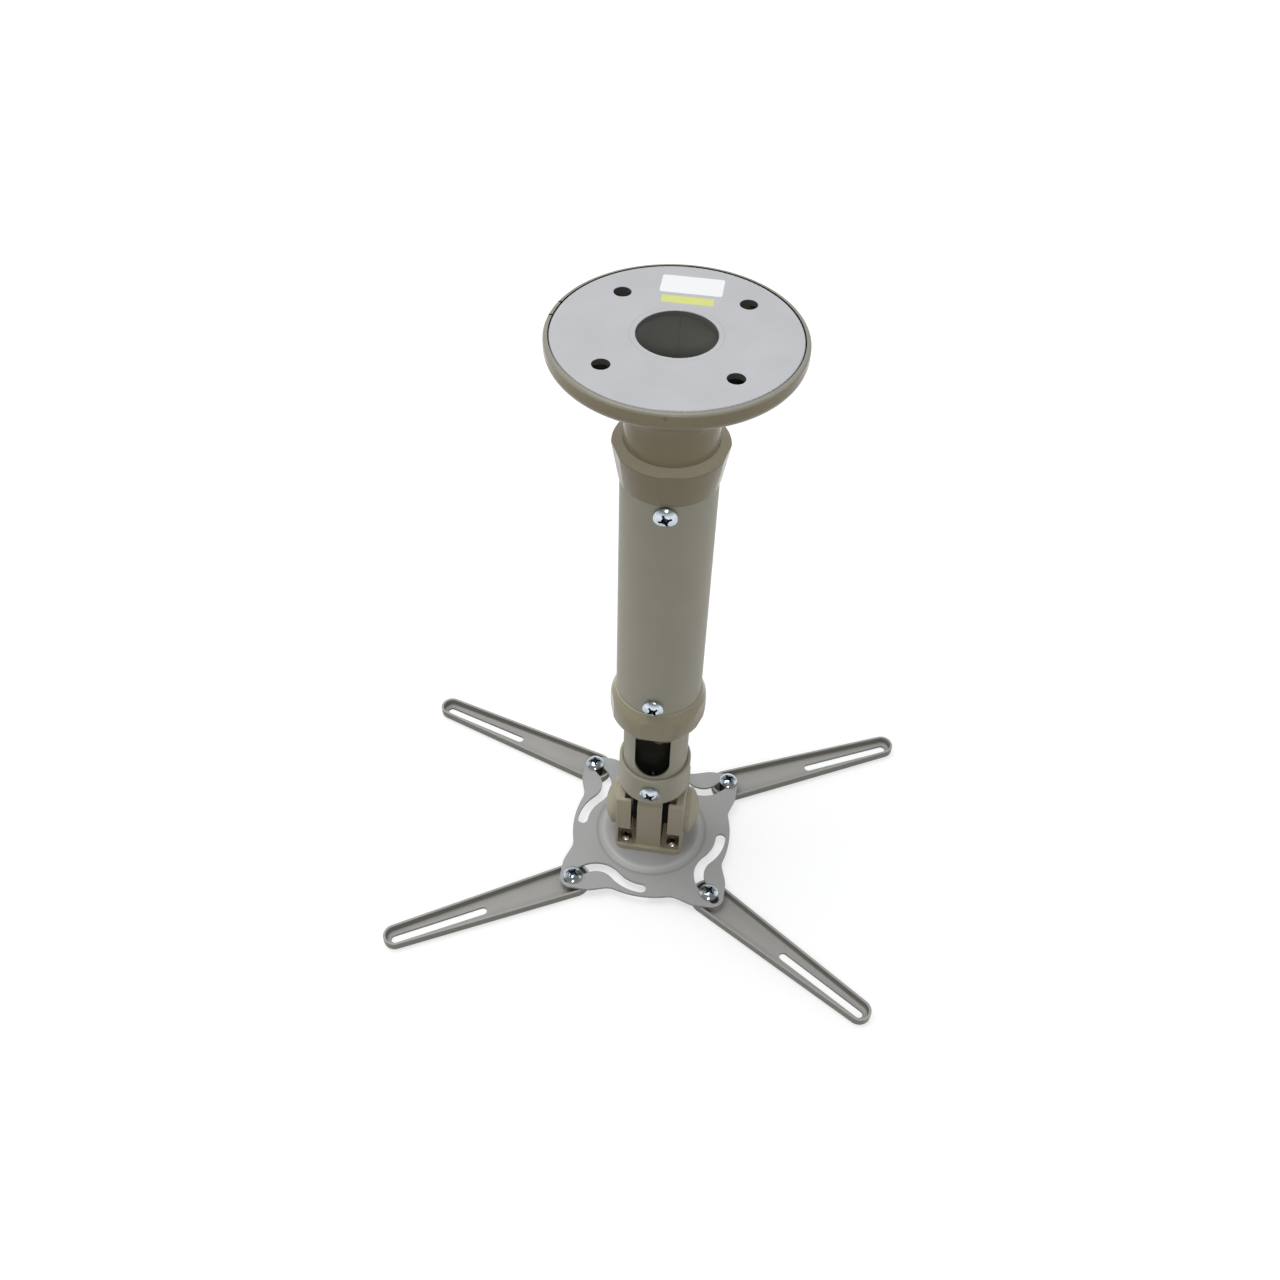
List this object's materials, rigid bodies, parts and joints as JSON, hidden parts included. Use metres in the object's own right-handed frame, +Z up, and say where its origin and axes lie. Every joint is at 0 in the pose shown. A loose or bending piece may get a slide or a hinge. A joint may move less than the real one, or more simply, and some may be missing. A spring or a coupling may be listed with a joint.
{
  "type": "projector ceiling mount",
  "caption": "Projector ceiling mount: round plate under a bowl cover, sliding tubes, a tilting head and a lobed plate with swinging slotted arms.",
  "frame": {"origin": "centre of the four ceiling holes, on the ceiling plate's top face", "axes": "+Z up into the ceiling, -Y to the front where the clamp screws show, +X to the right"},
  "size_m": [0.3284, 0.2235, 0.3972],
  "materials": {
    "plate_paint": "satin",
    "tube_paint": "satin",
    "gloss_cover": "gloss",
    "cup_paint": "satin",
    "head_plastic": "matte",
    "star_paint": "satin",
    "zinc_screw": "bright",
    "dark_screw": "yellowed",
    "plain_steel": "plain",
    "bush_plastic": "matte"
  },
  "bodies": {
    "column": {"ceiling_plate": "plate_paint", "stub_tube": "tube_paint", "ceiling_canopy": "gloss_cover", "upper_collar": "gloss_cover", "outer_tube": "tube_paint", "upper_clamp_screw": "zinc_screw", "lower_clamp_screw": "zinc_screw", "lower_collar": "gloss_cover"},
    "slider": {"guide_bush": "bush_plastic"},
    "drop_tube": {"inner_tube": "tube_paint", "socket_cup": "cup_paint", "socket_screw": "zinc_screw", "tilt_bracket": "cup_paint"},
    "head": {"tilt_housing": "head_plastic", "tilt_bolt": "plain_steel", "tilt_washer": "plain_steel", "tilt_nut": "plain_steel", "friction_washer_left": "bush_plastic", "friction_washer_right": "bush_plastic", "pivot_cap_left": "head_plastic", "pivot_cap_right": "head_plastic", "star_plate": "star_paint", "housing_screw_front_left": "dark_screw", "housing_screw_front_right": "dark_screw", "housing_screw_back_left": "dark_screw", "housing_screw_back_right": "dark_screw", "housing_nut_front_left": "plain_steel", "housing_nut_front_right": "plain_steel", "housing_nut_back_left": "plain_steel", "housing_nut_back_right": "plain_steel"},
    "arm_slider_back_left": {"arm_screw_back_left": "zinc_screw"},
    "arm_back_left": {"arm_back_left": "star_paint", "arm_bush_back_left": "plain_steel"},
    "arm_slider_back_right": {"arm_screw_back_right": "zinc_screw"},
    "arm_back_right": {"arm_back_right": "star_paint", "arm_bush_back_right": "plain_steel"},
    "arm_slider_front_right": {"arm_screw_front_right": "zinc_screw"},
    "arm_front_right": {"arm_front_right": "star_paint", "arm_bush_front_right": "plain_steel"},
    "arm_slider_front_left": {"arm_screw_front_left": "zinc_screw"},
    "arm_front_left": {"arm_front_left": "star_paint", "arm_bush_front_left": "plain_steel"}
  },
  "joints": [
    {"name": "height_slide", "type": "slide", "parent": "column", "child": "slider", "axis": [0, 0, 1], "range_m": [-0.07, 0.036]},
    {"name": "head_pan", "type": "hinge", "parent": "slider", "child": "drop_tube", "pos_m": [0, 0, -0.1484], "axis": [0, 0, 1], "continuous": true},
    {"name": "head_tilt", "type": "hinge", "parent": "drop_tube", "child": "head", "pos_m": [0, 0, -0.3604], "axis": [1, 0, 0], "range_deg": [-15, 15]},
    {"name": "arm_shift_back_left", "type": "slide", "parent": "head", "child": "arm_slider_back_left", "axis": [-0.7071, 0.7071, 0], "range_m": [-0.0082, 0.0009]},
    {"name": "arm_turn_back_left", "type": "hinge", "parent": "arm_slider_back_left", "child": "arm_back_left", "pos_m": [-0.04695, 0.04695, -0.388], "axis": [0, 0, 1], "range_deg": [-87.2, 32.8]},
    {"name": "arm_shift_back_right", "type": "slide", "parent": "head", "child": "arm_slider_back_right", "axis": [0.7071, 0.7071, 0], "range_m": [-0.0087, 0.0004]},
    {"name": "arm_turn_back_right", "type": "hinge", "parent": "arm_slider_back_right", "child": "arm_back_right", "pos_m": [0.0473, 0.0473, -0.388], "axis": [0, 0, 1], "range_deg": [-41.6, 78.4]},
    {"name": "arm_shift_front_right", "type": "slide", "parent": "head", "child": "arm_slider_front_right", "axis": [0.7071, -0.7071, 0], "range_m": [-0.0038, 0.0053]},
    {"name": "arm_turn_front_right", "type": "hinge", "parent": "arm_slider_front_right", "child": "arm_front_right", "pos_m": [0.04384, -0.04384, -0.388], "axis": [0, 0, 1], "range_deg": [-72.2, 47.8]},
    {"name": "arm_shift_front_left", "type": "slide", "parent": "head", "child": "arm_slider_front_left", "axis": [-0.7071, -0.7071, 0], "range_m": [-0.006, 0.0031]},
    {"name": "arm_turn_front_left", "type": "hinge", "parent": "arm_slider_front_left", "child": "arm_front_left", "pos_m": [-0.0454, -0.0454, -0.388], "axis": [0, 0, 1], "range_deg": [-45, 75]}
  ]
}
